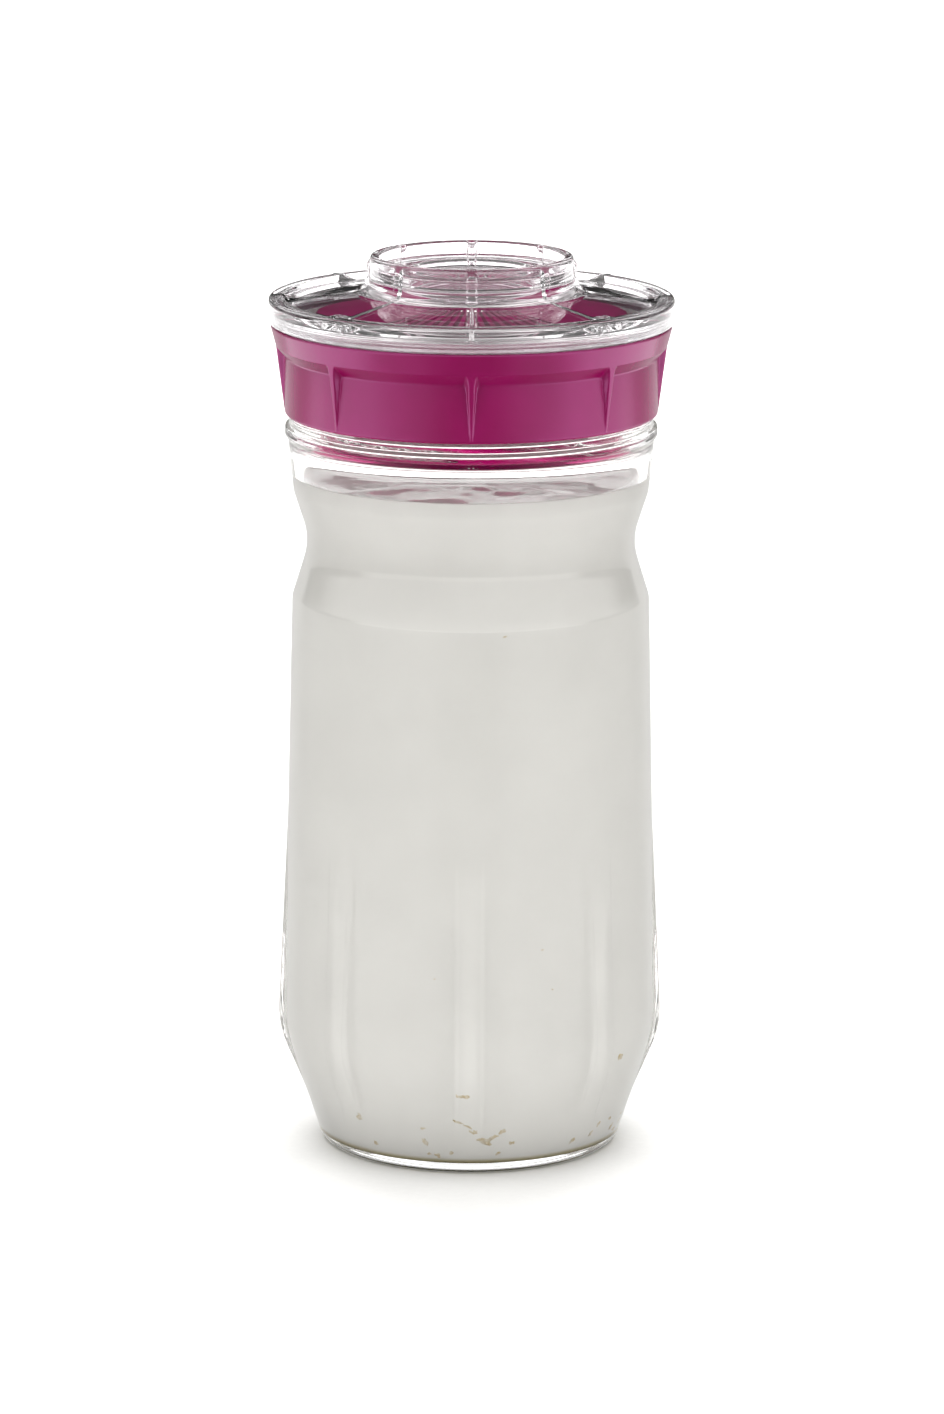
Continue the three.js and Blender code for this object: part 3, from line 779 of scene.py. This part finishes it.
# a dark room with a wide soft screen round the front and sides, and pale ground behind and at the sides
def buildWorld():
    world = bpy.data.worlds.new("studio")
    bpy.context.scene.world = world
    world.use_nodes = True
    tree = world.node_tree
    tree.nodes.clear()
    view = addNode(tree, "ShaderNodeTexCoord").outputs["Generated"]
    axes = addNode(tree, "ShaderNodeSeparateXYZ", links={"Vector": view}).outputs
    back, up = axes["Y"], axes["Z"]
    aside = addNode(tree, "ShaderNodeMath", {"operation": "ABSOLUTE"}, None, {0: axes["X"]}).outputs["Value"]

    def heightOf(name):
        return math.sin(math.radians(stage[name]))

    def edge(value, start, end):
        return addNode(tree, "ShaderNodeMapRange", {"interpolation_type": "SMOOTHSTEP"},
                       {"From Min": start, "From Max": end}, {"Value": value}).outputs["Result"]

    # fades in upwards round a height, or downwards where soft is below zero
    def edgeAt(height, soft):
        return edge(up, height - soft, height + soft)

    def both(*masks):
        product = masks[0]
        for mask in masks[1:]:
            product = addNode(tree, "ShaderNodeMath", {"operation": "MULTIPLY"}, None,
                              {0: product, 1: mask}).outputs["Value"]
        return product

    # moves the light towards a value where the mask is white
    def lay(light, mask, value):
        sockets = {"To Min": stage["room"], "To Max": value}
        node = addNode(tree, "ShaderNodeMapRange", None, sockets, {"Value": mask})
        if light:
            tree.links.new(light, node.inputs["To Min"])
        return node.outputs["Result"]

    screenFoot = heightOf("screenFoot")
    screenTop = heightOf("screenTop")
    below = edge(up, *stage["horizon"])
    light = lay(None, both(below, edge(aside, *stage["lowAside"])), stage["low"])
    light = lay(light, both(below, edge(back, *stage["groundBack"])), stage["ground"])
    screen = both(edgeAt(screenFoot, stage["screenSoft"]), edge(up, screenTop + stage["topSoft"], screenTop),
                  edge(back, *stage["screenBack"]))
    light = lay(light, screen, stage["screen"])
    front = both(edgeAt(heightOf("frontFoot"), stage["frontSoft"]), edgeAt(screenFoot, -stage["screenSoft"]),
                 edge(back, *stage["frontBack"]))
    light = lay(light, front, stage["front"])
    glow = addNode(tree, "ShaderNodeBackground", None, {"Color": linear(stage["tint"])}, {"Strength": light})
    addNode(tree, "ShaderNodeOutputWorld", links={"Surface": glow.outputs["Background"]})


# overhead and backWash light the floor; the other lamps, in place of pale cards, light only the pieces named;
# a mirrored lamp shows in reflections, one seen through shows behind clear pieces,
# and shade names the only pieces that stop a lamp's light
lights = {
    "overhead": {"place": (0, 0.1, 1.5), "aim": (0, 0.1, 0), "size": (2.0, 2.0), "watts": 24},
    "backWash": {"place": (0, 1.9, 2.3), "aim": (0, 2.0, 0), "size": (3.0, 1.6), "watts": 110},
    "backPanel": {"place": (0, 0.68, 0.28), "aim": (0, 0, 0.28), "size": (1.2, 0.44), "watts": 2.6,
                  "through": True, "only": ("glassJar", "kefirFill")},
    "lowGlow": {"place": (0, -0.3, 0.002), "aim": (0, -0.3, 1), "size": (1.0, 0.5), "watts": 0.75,
                "through": True, "only": ("glassJar", "kefirFill")},
    "coverGlow": {"place": (0, 0, 0.002), "aim": (0, 0, 1), "size": (3.0, 3.0), "watts": 48,
                  "mirrored": True, "through": True, "only": ("topCover",)},
    "coverLeft": {"place": (-0.7, 0.7, 0.72), "aim": (0, 0, 0.21), "size": (0.7, 0.6), "watts": 1.7,
                  "mirrored": True, "through": True, "only": ("topCover",)},
    "coverRight": {"place": (0.7, 0.7, 0.72), "aim": (0, 0, 0.21), "size": (0.7, 0.6), "watts": 1.7,
                   "mirrored": True, "through": True, "only": ("topCover",)},
    "collarLeft": {"place": (-0.78, -0.08, 0.003), "aim": (-0.78, -0.08, 1), "size": (0.95, 1.05),
                   "watts": 4.4, "mirrored": True, "through": True, "only": ("screwCollar",)},
    "collarRight": {"place": (0.78, -0.08, 0.003), "aim": (0.78, -0.08, 1), "size": (0.95, 1.05),
                    "watts": 4.4, "mirrored": True, "through": True, "only": ("screwCollar",)},
    "strainerGlow": {"place": (0, -0.1, 0.6), "aim": (0, 0, 0.2), "size": (0.5, 0.5), "watts": 2.2,
                     "only": ("strainerDisc",), "shade": ("strainerDisc",)},
    "insideGlow": {"place": (0, 0, 0.172), "aim": (0, 0, 1), "size": (0.07, 0.07), "watts": 0.15,
                   "only": ("screwCollar",), "shade": ("screwCollar",)},
}


def gather(name, pieceNames):
    group = bpy.data.collections.new(name)
    for pieceName in pieceNames:
        group.objects.link(bpy.data.objects[pieceName])
    return group


def buildLights():
    for name, lamp in lights.items():
        data = bpy.data.lights.new(name, "AREA")
        data.shape = "RECTANGLE"
        data.size, data.size_y = lamp["size"]
        data.energy = lamp["watts"]
        light = bpy.data.objects.new(name, data)
        light.location = lamp["place"]
        light.rotation_euler = (Vector(lamp["aim"]) - light.location).to_track_quat("-Z", "Y").to_euler()
        light.visible_camera = False
        light.visible_glossy = lamp.get("mirrored", False)
        light.visible_transmission = lamp.get("through", False)
        bpy.context.collection.objects.link(light)
        if "only" in lamp:
            light.light_linking.receiver_collection = gather(name + "Lit", lamp["only"])
        if "shade" in lamp:
            light.light_linking.blocker_collection = gather(name + "Shade", lamp["shade"])


# fitted to the photograph: metres, degrees, and a focal length in pixels of the frame
camera = {
    "distance": 1.55, "height": 0.459, "aside": -0.0007, "pitch": 12.684, "roll": -0.18,
    "focalPixels": 6375.3, "frameHeight": 1414, "sensor": 36,
}


def buildCamera():
    data = bpy.data.cameras.new("photoCamera")
    data.sensor_width = camera["sensor"]
    data.lens = camera["focalPixels"] / camera["frameHeight"] * camera["sensor"]
    eye = bpy.data.objects.new("photoCamera", data)
    eye.location = (camera["aside"], -camera["distance"], camera["height"])
    eye.rotation_euler = (math.radians(90 - camera["pitch"]), math.radians(camera["roll"]), 0)
    bpy.context.collection.objects.link(eye)
    bpy.context.scene.camera = eye


buildCamera()
buildFloor()
buildWorld()
print("camera, floor and studio placed")

jarGlass = makeJarGlass()
coverPlastic = makeCoverPlastic()
collarPlastic = makeMagentaPlastic("magentaPolypropylene", "#74003E", "#7C0046", shine=0.8, rough=0.24)
strainerPlastic = makeMagentaPlastic("magentaStrainerPolypropylene", "#7E004A", "#880452",
                                     shine=0.02, rough=0.7)
kefirMilk = makeKefir()
kefirGrain = makeGrain()
silicone = makeSilicone()
print("materials mixed")

dress(buildJar(), jarGlass, "jar", "clear_glass", "glass_jar")
print("glass jar turned")
dress(buildKefir(), kefirMilk, "jar", "kefir", "kefir")
dress(buildGrains(), kefirGrain, "jar", "kefir")
print("kefir and its grains poured")
dress(buildSeal("jarGasket", jarSeal), silicone, "sieve", "silicone", "jar_gasket")
dress(buildStrainer(), strainerPlastic, "sieve", "magenta_strainer", "strainer")
print("strainer cut")
dress(buildCollar(), collarPlastic, "collar", "magenta_collar", "screw_collar")
print("collar moulded")
dress(buildSeal("coverGasket", coverSeal), silicone, "cover_seal", "silicone", "cover_gasket")
dress(buildCover(), coverPlastic, "cover", "clear_plastic", "top_cover")
print("cover moulded")
buildLights()
print("lights placed")
